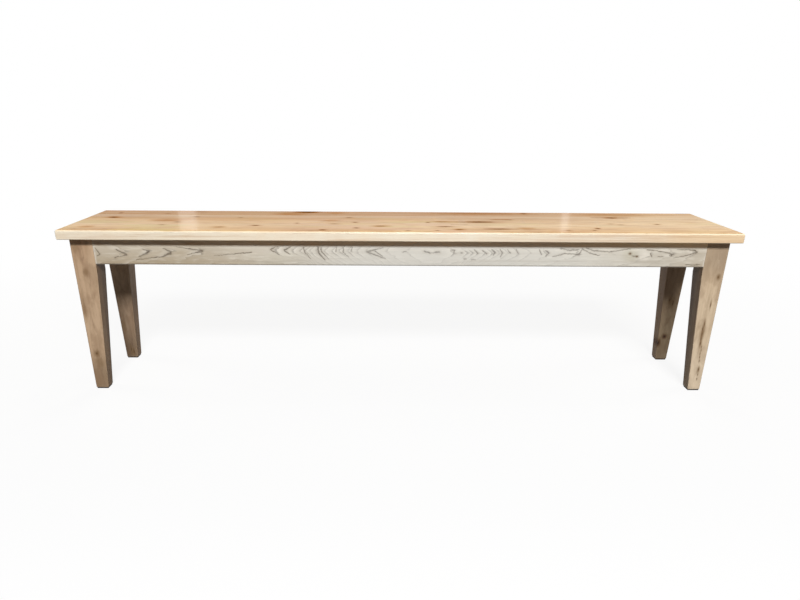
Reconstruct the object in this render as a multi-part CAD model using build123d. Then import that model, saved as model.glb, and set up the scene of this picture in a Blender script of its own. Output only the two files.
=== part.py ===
from build123d import *
import math
import os

# A long rustic dining bench: a plank seat on four tapered legs and a mortised apron frame.
# Frame: +X along the bench, front at -Y, +Z up, origin on the floor below the middle.
# All lengths are in millimetres.

# Whole bench
bench_length = 1800.0
bench_width = 350.0
bench_height = 457.0

# Seat: four boards glued edge to edge over loose tongues, with the rest of the width at the back
seat_thickness = 25.0
seat_end_overhang = 20.0
seat_side_overhang = 30.0
seat_corner_rounding = 3.0
seat_top_rounding = 5.0
seat_lower_rounding = 2.5
board_front_width = 99.0
board_front_inner_width = 103.0
board_back_inner_width = 62.0

# Loose tongues between the boards, stopped short of the seat's ends
tongue_thickness = 8.0
tongue_width = 18.0
tongue_end_stop = 45.0

# Legs: square at the top, tapered below the aprons on the two inner faces only
leg_width = 60.0
leg_foot_width = 35.0
leg_straight_below_apron = 25.0
leg_edge_rounding = 2.0
leg_foot_chamfer = 1.5

# Felt pads under the legs
pad_thickness = 3.0
pad_inset = 1.5
pad_corner_rounding = 1.5

# Aprons, flush with the outer faces of the legs
apron_height = 70.0
apron_thickness = 22.0
apron_edge_rounding = 1.5

# Tenons on the aprons
tenon_thickness = 8.0
tenon_length = 30.0
tenon_top_shoulder = 12.0
tenon_lower_shoulder = 8.0

# Cross rails under the seat, between the long aprons, at even shares of their clear length
cross_rail_thickness = 22.0
cross_rail_height = 50.0
cross_rail_edge_rounding = 1.5
cross_rail_count = 2
stub_tenon_thickness = 10.0
stub_tenon_length = 10.0
stub_tenon_shoulder = 8.0

# Corner braces behind the legs; the middle gap is between the two braces of one end
brace_thickness = 16.0
brace_leg_gap = 1.0
brace_middle_gap = 46.0
brace_button_gap = 3.0
brace_lower_gap = 4.0

# Wooden buttons that hold the seat down and let it move
button_length = 36.0
button_width = 25.0
button_thickness = 20.0
button_tongue_thickness = 7.0
button_tongue_length = 9.0
button_tongue_drop = 12.0
button_apron_gap = 1.0
button_end_rounding = 2.0
button_screw_share = 0.55
long_apron_button_shares = (-0.31, 0.0, 0.31)

# Countersunk wood screws
screw_shank_radius = 2.0
screw_head_radius = 4.0
screw_head_height = 2.4
screw_tip_length = 4.0
screw_slot_width = 1.2
screw_slot_depth = 1.3
screw_slot_length = 6.0
seat_screw_length = 30.0
brace_screw_length = 22.0
access_hole_radius = 4.5
access_hole_margin = 0.5

# Clearances
joint_clearance = 0.1
mortise_end_room = 1.5
slot_side_room = 2.0
screw_clearance = 0.1
cut_overrun = 5.0

# Places worked out from the sizes above
seat_underside = bench_height - seat_thickness
frame_half_length = bench_length / 2 - seat_end_overhang
frame_half_width = bench_width / 2 - seat_side_overhang
apron_bottom = seat_underside - apron_height
taper_top = apron_bottom - leg_straight_below_apron
long_apron_half = frame_half_length - leg_width
short_apron_half = frame_half_width - leg_width
tenon_bottom = apron_bottom + tenon_lower_shoulder
tenon_top = seat_underside - tenon_top_shoulder
tenon_inset = (apron_thickness - tenon_thickness) / 2
mortise_depth = tenon_length + mortise_end_room
seat_screw_grip = button_thickness


def box_between(low, high):
    """A block between two opposite corners."""
    size = [b - a for a, b in zip(low, high)]
    middle = [(a + b) / 2 for a, b in zip(low, high)]
    return Pos(*middle) * Box(*size)


def grown(low, high, by):
    """The corners of a block, moved outwards on every side by the amounts in by."""
    return [a - g for a, g in zip(low, by)], [b + g for b, g in zip(high, by)]


def upright_edges(shape):
    """The edges of a block that run along Z."""
    return shape.edges().filter_by(Axis.Z)


def rise(edge):
    """How far an edge climbs from end to end."""
    return abs((edge @ 1 - edge @ 0).Z)


# Seat boards


def seat_slab():
    """The seat as one slab, with all of its outer edges eased."""
    slab = box_between(
        (-bench_length / 2, -bench_width / 2, seat_underside),
        (bench_length / 2, bench_width / 2, bench_height),
    )
    slab = fillet(upright_edges(slab), seat_corner_rounding)
    slab = fillet(slab.faces().sort_by(Axis.Z)[-1].edges(), seat_top_rounding)
    return fillet(slab.faces().sort_by(Axis.Z)[0].edges(), seat_lower_rounding)


def seam_places():
    """The Y place of each glue line, from the front of the seat to the back."""
    places = []
    y = -bench_width / 2
    for width in (board_front_width, board_front_inner_width, board_back_inner_width):
        y += width
        places.append(y)
    return places


def tongue_corners(seam):
    """Opposite corners of the loose tongue that bridges one glue line."""
    half_length = bench_length / 2 - tongue_end_stop
    middle = seat_underside + seat_thickness / 2
    low = (-half_length, seam - tongue_width / 2, middle - tongue_thickness / 2)
    high = (half_length, seam + tongue_width / 2, middle + tongue_thickness / 2)
    return low, high


def seat_boards():
    """The four boards of the seat, grooved for their tongues."""
    slab = seat_slab()
    for seam in seam_places():
        slab -= box_between(*grown(*tongue_corners(seam), [joint_clearance] * 3))
    outer = bench_width / 2 + cut_overrun
    edges = [-outer] + seam_places() + [outer]
    boards = []
    for front, back in zip(edges[:-1], edges[1:]):
        strip = box_between(
            (-bench_length / 2 - cut_overrun, front, seat_underside - cut_overrun),
            (bench_length / 2 + cut_overrun, back, bench_height + cut_overrun),
        )
        boards.append(slab & strip)
    return boards


# Legs and their pads, made for the front left corner


def leg_section(width, height):
    """A level square of the leg, held at the leg's outer corner."""
    face = Rectangle(width, width, align=(Align.MIN, Align.MIN)).face()
    return Pos(-frame_half_length, -frame_half_width, height) * face


def front_left_leg():
    """One leg: a square head for the mortises above a taper on the two inner faces."""
    head = box_between(
        (-frame_half_length, -frame_half_width, taper_top),
        (-frame_half_length + leg_width, -frame_half_width + leg_width, seat_underside),
    )
    sections = [leg_section(leg_foot_width, pad_thickness), leg_section(leg_width, taper_top)]
    leg = (head + loft(sections, ruled=True)).clean()
    leg = fillet([edge for edge in leg.edges() if rise(edge) > leg_edge_rounding], leg_edge_rounding)
    leg = chamfer(leg.faces().sort_by(Axis.Z)[0].edges(), leg_foot_chamfer)
    for low, high in (long_mortise_corners(), short_mortise_corners()):
        leg -= box_between(low, high)
    return leg


def long_mortise_corners():
    """The mortise for a long apron, open on the leg's inner X face."""
    outer_y = -frame_half_width + tenon_inset
    low = (-long_apron_half - mortise_depth, outer_y, tenon_bottom)
    high = (-long_apron_half + cut_overrun, outer_y + tenon_thickness, tenon_top)
    return grown(low, high, (0, joint_clearance, joint_clearance))


def short_mortise_corners():
    """The mortise for a short apron, open on the leg's inner Y face."""
    outer_x = -frame_half_length + tenon_inset
    low = (outer_x, -short_apron_half - mortise_depth, tenon_bottom)
    high = (outer_x + tenon_thickness, -short_apron_half + cut_overrun, tenon_top)
    return grown(low, high, (joint_clearance, 0, joint_clearance))


def front_left_pad():
    """The square felt pad under one leg."""
    low_x = -frame_half_length + pad_inset
    low_y = -frame_half_width + pad_inset
    side = leg_foot_width - 2 * pad_inset
    pad = box_between((low_x, low_y, 0), (low_x + side, low_y + side, pad_thickness))
    return fillet(upright_edges(pad), pad_corner_rounding)


def four_corners(shape):
    """The shape of the front left corner and its mirror images, by corner name."""
    right = mirror(shape, about=Plane.YZ)
    return {
        "front_left": shape,
        "front_right": right,
        "back_left": mirror(shape, about=Plane.XZ),
        "back_right": mirror(right, about=Plane.XZ),
    }


# Screws, with the head's face at the origin and the shank along +Z


def screw_body(length, extra):
    """A countersunk screw's outline turned about Z, grown by a clearance."""
    shank = screw_shank_radius + extra
    head = screw_head_radius + extra
    end = length + extra
    points = [
        (0, 0),
        (head, 0),
        (shank, screw_head_height + extra),
        (shank, end - screw_tip_length),
        (0, end),
    ]
    outline = make_face(Plane.XZ * Polyline(points, close=True))
    return revolve(outline, Axis.Z)


def screw(length):
    """A countersunk screw with a straight slot across its head."""
    slot = box_between(
        (-screw_slot_length / 2, -screw_slot_width / 2, -cut_overrun),
        (screw_slot_length / 2, screw_slot_width / 2, screw_slot_depth),
    )
    return screw_body(length, 0) - slot


def screw_hole(length, access_depth):
    """The hole for one screw, with the wide hole behind its head."""
    access = Cylinder(access_hole_radius, access_depth, align=(Align.CENTER, Align.CENTER, Align.MAX))
    return screw_body(length, screw_clearance) + access


# Places of the buttons: each is on an apron's inner face, at the seat's underside,
# with local +X pointing into the frame


def button_places():
    """Name and place of each seat button."""
    inner_y = frame_half_width - apron_thickness
    inner_x = frame_half_length - apron_thickness
    places = {}
    for share, side in zip(long_apron_button_shares, ("left", "middle", "right")):
        x = share * 2 * long_apron_half
        places["button_front_" + side] = Pos(x, -inner_y, seat_underside) * Rot(0, 0, 90)
        places["button_back_" + side] = Pos(x, inner_y, seat_underside) * Rot(0, 0, -90)
    places["button_end_left"] = Pos(-inner_x, 0, seat_underside)
    places["button_end_right"] = Pos(inner_x, 0, seat_underside) * Rot(0, 0, 180)
    return places


def button_screw_place():
    """Where a button's screw stands, in the button's own frame."""
    return Pos(button_apron_gap + button_screw_share * button_length, 0, -seat_screw_grip)


def seat_button():
    """A rebated wooden button whose tongue sits in the apron's slot."""
    block = box_between(
        (button_apron_gap, -button_width / 2, -button_thickness),
        (button_apron_gap + button_length, button_width / 2, 0),
    )
    far = upright_edges(block).sort_by(Axis.X)[-2:]
    block = fillet(far, button_end_rounding)
    tongue = box_between(
        (-button_tongue_length, -button_width / 2, -button_tongue_drop - button_tongue_thickness),
        (button_apron_gap, button_width / 2, -button_tongue_drop),
    )
    hole = button_screw_place() * screw_hole(seat_screw_length, button_thickness)
    return block + tongue - hole


def button_slot():
    """The slot in an apron's inner face for one button's tongue."""
    half = button_width / 2 + slot_side_room
    return box_between(
        (-button_tongue_length - mortise_end_room, -half,
         -button_tongue_drop - button_tongue_thickness - joint_clearance),
        (cut_overrun, half, -button_tongue_drop),
    )


# Cross rails


def cross_rail_places():
    """The X place of each cross rail, dividing the clear length evenly."""
    bays = cross_rail_count + 1
    return [long_apron_half * (2 * (i + 1) / bays - 1) for i in range(cross_rail_count)]


def stub_tenon_corners(x):
    """Opposite corners of a cross rail's tenons, running through from end to end."""
    reach = frame_half_width - apron_thickness + stub_tenon_length
    low = (x - stub_tenon_thickness / 2, -reach, seat_underside - cross_rail_height + stub_tenon_shoulder)
    high = (x + stub_tenon_thickness / 2, reach, seat_underside - stub_tenon_shoulder)
    return low, high


def stub_mortise(x):
    """The cut that both long aprons take for a cross rail's tenons."""
    return box_between(*grown(*stub_tenon_corners(x), (joint_clearance, mortise_end_room, joint_clearance)))


def cross_rail_screw_place(x):
    """Where the screw up through a cross rail stands."""
    return Pos(x, 0, seat_underside - seat_screw_grip)


def cross_rail(x):
    """A bearer between the long aprons, with a stub tenon at each end."""
    inner = frame_half_width - apron_thickness
    rail = box_between(
        (x - cross_rail_thickness / 2, -inner, seat_underside - cross_rail_height),
        (x + cross_rail_thickness / 2, inner, seat_underside),
    )
    lower = rail.faces().sort_by(Axis.Z)[0].edges().filter_by(Axis.Y)
    rail = fillet(lower, cross_rail_edge_rounding) + box_between(*stub_tenon_corners(x))
    hole = cross_rail_screw_place(x) * screw_hole(seat_screw_length, cross_rail_height)
    return rail - hole


# Corner braces. Their plan is drawn in distances from the frame's front left outer corner:
# along is the way along the long apron, inward is the way along the short apron

brace_bottom = apron_bottom + brace_lower_gap
brace_top = seat_underside - button_thickness - brace_button_gap


def brace_turn():
    """The brace's slope in plan: its inner face ends at the middle gap and clears the leg's corner."""
    far_inward = frame_half_width - brace_middle_gap / 2
    to_leg = (leg_width - apron_thickness, leg_width - far_inward)
    reach = math.hypot(*to_leg)
    return math.atan2(to_leg[1], to_leg[0]) + math.asin((brace_leg_gap + brace_thickness) / reach)


brace_normal = (-math.sin(brace_turn()), math.cos(brace_turn()))
brace_outer_face = leg_width * sum(brace_normal) + brace_leg_gap
brace_inner_face = brace_outer_face + brace_thickness


def along_at(face, inward):
    """How far along a face of the brace lies, at a distance inward."""
    return (face - brace_normal[1] * inward) / brace_normal[0]


def inward_at(face, along):
    """How far inward a face of the brace lies, at a distance along."""
    return (face - brace_normal[0] * along) / brace_normal[1]


def from_corner(along, inward, height):
    """A place given by its distances in from the outer corner of the frame."""
    return (-frame_half_length + along, -frame_half_width + inward, height)


def brace_screw_places():
    """The places of one brace's two screws, each in the middle of an end, one into each apron."""
    height = (brace_bottom + brace_top) / 2
    middle_face = (brace_outer_face + brace_inner_face) / 2
    along = along_at(middle_face, apron_thickness)
    inward = inward_at(middle_face, apron_thickness)
    head_inward = inward_at(brace_inner_face, along + access_hole_radius) - access_hole_margin
    head_along = along_at(brace_inner_face, inward + access_hole_radius) - access_hole_margin
    long_side = Pos(*from_corner(along, head_inward, height)) * Rot(90, 0, 0)
    short_side = Pos(*from_corner(head_along, inward, height)) * Rot(0, -90, 0)
    return [long_side, short_side]


def front_left_brace():
    """A diagonal brace across one corner, bedded on both aprons behind the leg."""
    corners = [
        (along_at(brace_outer_face, apron_thickness), apron_thickness),
        (along_at(brace_inner_face, apron_thickness), apron_thickness),
        (apron_thickness, inward_at(brace_inner_face, apron_thickness)),
        (apron_thickness, inward_at(brace_outer_face, apron_thickness)),
    ]
    outline = make_face(Polyline([from_corner(u, v, brace_bottom) for u, v in corners], close=True))
    brace = extrude(outline, brace_top - brace_bottom, dir=(0, 0, 1))
    return brace - [place * screw_hole(brace_screw_length, bench_width) for place in brace_screw_places()]


# Aprons


def long_apron():
    """The front apron, with its tenons, stub mortises, button slots and screw holes."""
    outer = -frame_half_width
    board = box_between(
        (-long_apron_half, outer, apron_bottom),
        (long_apron_half, outer + apron_thickness, seat_underside),
    )
    lower = board.faces().sort_by(Axis.Z)[0].edges().filter_by(Axis.X)
    board = fillet(lower, apron_edge_rounding)
    board += box_between(
        (-long_apron_half - tenon_length, outer + tenon_inset, tenon_bottom),
        (long_apron_half + tenon_length, outer + tenon_inset + tenon_thickness, tenon_top),
    )
    slots = [place * button_slot() for name, place in button_places().items() if "front" in name]
    hole = brace_screw_places()[0] * screw_body(brace_screw_length, screw_clearance)
    holes = [hole, mirror(hole, about=Plane.YZ)]
    return board - slots - holes - [stub_mortise(x) for x in cross_rail_places()]


def short_apron():
    """The left apron, with its tenons, button slot and screw holes."""
    outer = -frame_half_length
    board = box_between(
        (outer, -short_apron_half, apron_bottom),
        (outer + apron_thickness, short_apron_half, seat_underside),
    )
    lower = board.faces().sort_by(Axis.Z)[0].edges().filter_by(Axis.Y)
    board = fillet(lower, apron_edge_rounding)
    board += box_between(
        (outer + tenon_inset, -short_apron_half - tenon_length, tenon_bottom),
        (outer + tenon_inset + tenon_thickness, short_apron_half + tenon_length, tenon_top),
    )
    slot = button_places()["button_end_left"] * button_slot()
    hole = brace_screw_places()[1] * screw_body(brace_screw_length, screw_clearance)
    return board - [slot, hole, mirror(hole, about=Plane.XZ)]


# The whole bench, by node name


def seat_screw_places():
    """Every screw that goes up into the seat."""
    places = [place * button_screw_place() for place in button_places().values()]
    return places + [cross_rail_screw_place(x) for x in cross_rail_places()]


def build_nodes():
    """Every piece of the bench, by its name."""
    nodes = {}
    board_names = ("front", "front_inner", "back_inner", "back")
    seat_holes = [place * screw_body(seat_screw_length, screw_clearance) for place in seat_screw_places()]
    for name, board in zip(board_names, seat_boards()):
        nodes["seat_board_" + name] = board - seat_holes
    for name, seam in zip(("front", "middle", "back"), seam_places()):
        nodes["seat_tongue_" + name] = box_between(*tongue_corners(seam)) - seat_holes
    for corner, leg in four_corners(front_left_leg()).items():
        nodes["leg_" + corner] = leg
    for corner, pad in four_corners(front_left_pad()).items():
        nodes["foot_pad_" + corner] = pad
    for corner, brace in four_corners(front_left_brace()).items():
        nodes["corner_brace_" + corner] = brace
    front = long_apron()
    left = short_apron()
    nodes["apron_front"] = front
    nodes["apron_back"] = mirror(front, about=Plane.XZ)
    nodes["apron_left"] = left
    nodes["apron_right"] = mirror(left, about=Plane.YZ)
    for number, x in enumerate(cross_rail_places(), 1):
        nodes["cross_rail_%d" % number] = cross_rail(x)
    for name, place in button_places().items():
        nodes[name] = place * seat_button()
    nodes["seat_screws"] = Compound([place * screw(seat_screw_length) for place in seat_screw_places()])
    brace_pair = Compound([place * screw(brace_screw_length) for place in brace_screw_places()])
    nodes["brace_screws"] = Compound(list(four_corners(brace_pair).values()))
    return nodes


os.makedirs("parts", exist_ok=True)
for node_name, node_shape in build_nodes().items():
    node_shape.label = node_name
    export_step(node_shape, "parts/" + node_name + ".step")
    print(node_name, len(node_shape.solids()), "solid(s)")
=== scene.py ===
import math

import bmesh
import bpy
from mathutils import Matrix, Vector, noise


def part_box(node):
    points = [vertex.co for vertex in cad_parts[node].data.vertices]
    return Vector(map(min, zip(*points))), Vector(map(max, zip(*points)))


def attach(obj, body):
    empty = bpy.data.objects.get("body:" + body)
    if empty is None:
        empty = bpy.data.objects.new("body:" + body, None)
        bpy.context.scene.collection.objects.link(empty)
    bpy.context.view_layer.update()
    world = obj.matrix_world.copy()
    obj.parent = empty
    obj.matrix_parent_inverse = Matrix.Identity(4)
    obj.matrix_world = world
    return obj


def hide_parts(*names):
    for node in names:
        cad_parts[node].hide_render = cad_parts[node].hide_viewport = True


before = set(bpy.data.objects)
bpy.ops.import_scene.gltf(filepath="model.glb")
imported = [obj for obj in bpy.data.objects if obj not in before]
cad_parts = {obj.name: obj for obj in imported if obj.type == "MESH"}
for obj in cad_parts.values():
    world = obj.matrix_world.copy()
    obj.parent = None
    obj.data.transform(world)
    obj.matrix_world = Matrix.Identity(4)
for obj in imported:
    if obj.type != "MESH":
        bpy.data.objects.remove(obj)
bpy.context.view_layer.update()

# Dresses a long rustic oak bench: boards with worn edges, grain that follows each board, a varnished
# seat, greyed aprons and brown legs. Metres throughout, in the frame of the loaded model.

seat_low, seat_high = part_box("seat_board_front")
apron_low, apron_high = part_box("apron_front")
seam_nodes = ("seat_board_front", "seat_board_front_inner", "seat_board_back_inner")
seams = [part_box(node)[1].y for node in seam_nodes]

# The photograph's camera, found by matching the bench's edges. Its reach and middle are in picture points
picture_width, picture_height = 800, 600
camera_place = Vector((-0.0448, -1.9442, 0.7672))
camera_yaw, camera_pitch, camera_roll = 0.0100, 0.4249, 0.0074
camera_reach = 669.5
camera_middle = (389.9, 403.9)
sensor_width = 36.0

# Board-working sizes
millimetre = 0.001
cut_spacing = 9 * millimetre
seam_easing = 0.5 * millimetre
edge_wear = 0.7 * millimetre
seat_edge_wear = 0.4 * millimetre
merge_distance = 0.01 * millimetre
flat_angle = math.radians(0.3)
sharp_angle = math.radians(35)

# Painted warm shade under the seat's overhang reaches down the front apron to about here
shade_band_low = apron_high.z - 20 * millimetre
shade_band_high = apron_high.z - 15 * millimetre

# How unevenly the edges wear
rub_waves = 9
knock_waves = 55
knock_level = 0.35
flat_squareness = 0.99
edge_span = 0.2

# The room, and its light apart from the lamps
floor_half_width = 120.0
room_light = 0.045
pure_white = (1.0, 1.0, 1.0, 1.0)


# Shader building


def tone(red, green, blue):
    """A colour given as screen values from 0 to 255."""
    def linear(value):
        part = value / 255
        return part / 12.92 if part <= 0.04045 else ((part + 0.055) / 1.055) ** 2.4
    return (linear(red), linear(green), linear(blue), 1.0)


class Value:
    """One output of a shader node. Sums written with it add their Math nodes."""

    def __init__(self, finish, socket):
        self.finish = finish
        self.socket = socket

    def maths(self, operation, *others):
        return self.finish.node("ShaderNodeMath", {"operation": operation}, self, *others)

    def __add__(self, other):
        return self.maths("ADD", other)

    def __sub__(self, other):
        return self.maths("SUBTRACT", other)

    def __rsub__(self, other):
        return self.finish.node("ShaderNodeMath", {"operation": "SUBTRACT"}, other, self)

    def __mul__(self, other):
        return self.maths("MULTIPLY", other)

    def __truediv__(self, other):
        return self.maths("DIVIDE", other)

    def __abs__(self):
        return self.maths("ABSOLUTE")

    def fraction(self):
        return self.maths("FRACT")

    def root(self):
        return self.maths("SQRT")

    def at_most(self, other):
        return self.maths("MINIMUM", other)

    def at_least(self, other):
        return self.maths("MAXIMUM", other)

    def between(self, start, end, first=0.0, last=1.0):
        """Turns smoothly from first to last as the value goes from start to end."""
        settings = {"interpolation_type": "SMOOTHSTEP"}
        return self.finish.node("ShaderNodeMapRange", settings, self, start, end, first, last)


class Nodes:
    """A node tree under construction."""

    def __init__(self, tree):
        self.tree = tree
        tree.nodes.clear()

    def node(self, kind, settings, *inputs, out=0, **named):
        """Adds a node: its settings first, then the values or links of its sockets."""
        made = self.tree.nodes.new(kind)
        for key, setting in settings.items():
            if key == "points":
                self.set_points(made.mapping, setting)
            else:
                setattr(made, key, setting)
        for index, value in list(enumerate(inputs)) + list(named.items()):
            socket = made.inputs[index.replace("_", " ") if isinstance(index, str) else index]
            if isinstance(value, Value):
                self.tree.links.new(value.socket, socket)
            elif value is not None:
                socket.default_value = value
        return Value(self, made.outputs[out]) if made.outputs else None

    def set_points(self, mapping, points):
        """Gives a float curve its points, each from 0 to 1 both ways."""
        curve = mapping.curves[0]
        while len(curve.points) < len(points):
            curve.points.new(1.0, 1.0)
        for point, (across, up) in zip(curve.points, points):
            point.location = (across, up)
        mapping.update()

    def vectors(self, operation, *inputs, out=0, **named):
        return self.node("ShaderNodeVectorMath", {"operation": operation}, *inputs, out=out, **named)

    def seen_rays(self):
        """Rays that look at a thing: straight from the camera, in a reflection or through glass."""
        outputs = self.node("ShaderNodeLightPath", {}).socket.node.outputs
        kinds = ("Camera", "Glossy", "Transmission")
        camera, glossy, glass = (Value(self, outputs["Is %s Ray" % kind]) for kind in kinds)
        return camera.at_least(glossy).at_least(glass)


class Finish(Nodes):
    """One material under construction."""

    def __init__(self, name):
        self.material = bpy.data.materials.new(name)
        self.material.use_nodes = True
        super().__init__(self.material.node_tree)
        self.place = self.node("ShaderNodeTexCoord", {}, out="Object")
        outputs = self.node("ShaderNodeSeparateXYZ", {}, self.place).socket.node.outputs
        self.x, self.y, self.z = (Value(self, outputs[axis]) for axis in "XYZ")

    def vector(self, x, y, z):
        return self.node("ShaderNodeCombineXYZ", {}, x, y, z)

    def noise(self, vector, scale=1.0, detail=2.0, roughness=0.5):
        """Smooth noise from 0 to 1, about 0.5 on average."""
        return self.node("ShaderNodeTexNoise", {}, vector, Scale=scale, Detail=detail, Roughness=roughness)

    def mix(self, amount, first, second):
        """Mixes two colours."""
        unused = [None] * 5
        return self.node("ShaderNodeMix", {"data_type": "RGBA"}, amount, *unused, first, second, out=2)

    def surface(self, colour, roughness, height, bump_depth, **constants):
        """The surface shader, with a bump from a height."""
        normal = self.node("ShaderNodeBump", {}, Height=height, Strength=1.0, Distance=bump_depth)
        shader = self.node("ShaderNodeBsdfPrincipled", {}, Base_Color=colour, Roughness=roughness,
                           Normal=normal, **constants)
        self.node("ShaderNodeOutputMaterial", {}, shader)
        return self.material


def nearest_tool(name, kinds, work):
    """A node group that compares one mark with the nearest so far. kinds are its inputs' kinds, V or F."""
    tree = bpy.data.node_groups.new(name, "ShaderNodeTree")
    for number, kind in enumerate(kinds):
        socket = "NodeSocketVector" if kind == "V" else "NodeSocketFloat"
        tree.interface.new_socket("input %d" % number, in_out="INPUT", socket_type=socket)
    tree.interface.new_socket("nearest", in_out="OUTPUT", socket_type="NodeSocketFloat")
    inside = Nodes(tree)
    outputs = inside.node("NodeGroupInput", {}).socket.node.outputs
    inside.node("NodeGroupOutput", {}, work(inside, *(Value(inside, outputs[i]) for i in range(len(kinds)))))
    return tree


def oval_reach(inside, place, scale, shift, nearest):
    """The lesser of the nearest mark so far and a place's distance from one oval's middle."""
    from_middle = inside.vectors("MULTIPLY_ADD", place, scale, shift)
    return inside.vectors("LENGTH", from_middle, out="Value").at_most(nearest)


def stroke_reach(inside, place, start, run, turn, width, growth, nearest):
    """The same for one stroke, which grows in width along its run."""
    from_start = inside.vectors("SUBTRACT", place, start)
    share = inside.vectors("DOT_PRODUCT", from_start, turn, out="Value").at_least(0.0).at_most(1.0)
    foot = inside.vectors("SCALE", run, Scale=share)
    off = inside.vectors("DISTANCE", from_start, foot, out="Value")
    return (off / (share * growth + width)).at_most(nearest)


oval_tool = nearest_tool("nearest oval", "VVVF", oval_reach)
stroke_tool = nearest_tool("nearest stroke", "VVVVFFF", stroke_reach)

# Sizes for marks and rings
far_away = 100.0
stroke_wobble = 6 * millimetre
ring_probe = 6 * millimetre
rings_into_board = 160.0
least_steepness = 200.0

# The seat's dashes and the front apron's right-hand lines are drawn at these shares of their listed widths
dash_fineness_share = 0.525
right_line_fineness_share = 0.8


class Board:
    """The directions of a board in a material: along its fibres, across its face and into it."""

    def __init__(self, finish, directions, seed):
        places = {"x": finish.x, "y": finish.y, "z": finish.z}
        self.finish = finish
        self.along, self.across, self.depth = (places[name] for name in directions)
        self.flat = finish.vector(self.along, self.across, 0.0)
        self.seed = seed
        normal = finish.node("ShaderNodeTexCoord", {}, out="Normal")
        outputs = finish.node("ShaderNodeSeparateXYZ", {}, normal).socket.node.outputs
        self.normal = {axis: Value(finish, outputs[axis.upper()]) for axis in "xyz"}
        self.facing = {axis: abs(part) for axis, part in self.normal.items()}
        self.end_grain = self.facing[directions[0]].between(0.6, 0.9)

    def fibre(self, per_metre_along, per_metre_across, shift=0.0, detail=2.0, roughness=0.5):
        """Noise drawn out along the fibres."""
        place = self.finish.vector(
            self.along * per_metre_along + (self.seed + shift),
            self.across * per_metre_across + self.seed * 1.7,
            self.depth * per_metre_across + self.seed * 0.3,
        )
        return self.finish.noise(place, 1.0, detail, roughness)

    def ovals(self, marks, raggedness=0.7):
        """Distance from the nearest oval's middle, where 1 is its ragged rim. Each is (along, across, half
        length, half width)."""
        nearest = self.along * 0 + far_away
        for along, across, length, width in marks:
            scale = (1 / length, 1 / width, 0.0)
            shift = (-along / length, -across / width, 0.0)
            nearest = self.finish.node("ShaderNodeGroup", {"node_tree": oval_tool}, self.flat, scale, shift,
                                       nearest)
        return nearest + (self.fibre(60, 160, 5.0, 3.0) - 0.5) * raggedness

    def strokes(self, lines):
        """Distance from the nearest brush-like stroke, where 1 is its rim. Each runs from (along, across) to
        (along, across) and has its half width at either end. The wobble is half its reach on average, so the
        strokes start that far on."""
        finish = self.finish
        wobble = finish.node("ShaderNodeTexNoise", {}, finish.place, Scale=130.0, Detail=3.0, out="Color")
        place = finish.vectors("MULTIPLY_ADD", wobble, (stroke_wobble, stroke_wobble, 0.0), self.flat)
        nearest = self.along * 0 + far_away
        for along, across, end_along, end_across, width, end_width in lines:
            start = (along + stroke_wobble / 2, across + stroke_wobble / 2, 0.0)
            run = Vector((end_along - along, end_across - across, 0.0))
            turn = run / run.length_squared
            nearest = finish.node("ShaderNodeGroup", {"node_tree": stroke_tool}, place, start, run, turn,
                                  width, end_width - width, nearest)
        return nearest


def growth_rings(board, ring_line, middle, point, cup, line, near_knot, restless=1.5, face=0.0):
    """Masks of the growth rings' dark lines and of the pale wood before each. The lines follow ring_line
    along the board, come to a point on its middle line, sweep away along its edges and bend round its
    knots. point and cup say how far an arm falls back, as metres for each metre across and for each square
    metre. line is a line's width, and face the depth of the board's shown face."""
    wander = (board.fibre(3.0, 10.0, 1.0) - 0.5) * restless
    shiver = (board.fibre(30.0, 110.0, 2.0, 3.0) - 0.5) * 0.7
    drift = (board.fibre(2.2, 0.0, 3.0, 1.0) - 0.5) * 0.02
    offset = abs(board.across - (drift + middle))
    ring_here = ring_line(board.finish, board.along)
    ring_next = ring_line(board.finish, board.along + ring_probe)
    slope = (ring_next - ring_here) / ring_probe
    steep = (slope * slope + least_steepness).root()
    fall = steep * (offset * (2 * cup) + point)
    rings = ring_here + steep * offset * (offset * cup + point) + (board.depth - face) * rings_into_board
    rings = rings + wander + shiver + near_knot.between(0.0, 3.5, 1.3, 0.0)
    near_heart = offset.between(0.002, 0.02, 1.0, 0.0)
    thickness = (slope * slope + fall * fall).root() * (near_heart * line + line) + 0.03
    since_ring = rings.fraction()
    line_mask = (since_ring / thickness).between(0.0, 1.0, 1.0, 0.0)
    broken = board.fibre(45.0, 260.0, 4.0, 3.0).between(0.3, 0.62)
    gaps = board.fibre(9.0, 60.0, 13.0, 2.0).between(0.36, 0.6)
    late = line_mask * (broken * 0.5 + 0.5) * (gaps * 0.5 + 0.5) * (near_heart * 0.72 + 0.28)
    early = since_ring.between(0.5, 0.95) * (1 - line_mask) * gaps * (near_heart * 0.5 + 0.5)
    return late, early


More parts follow.
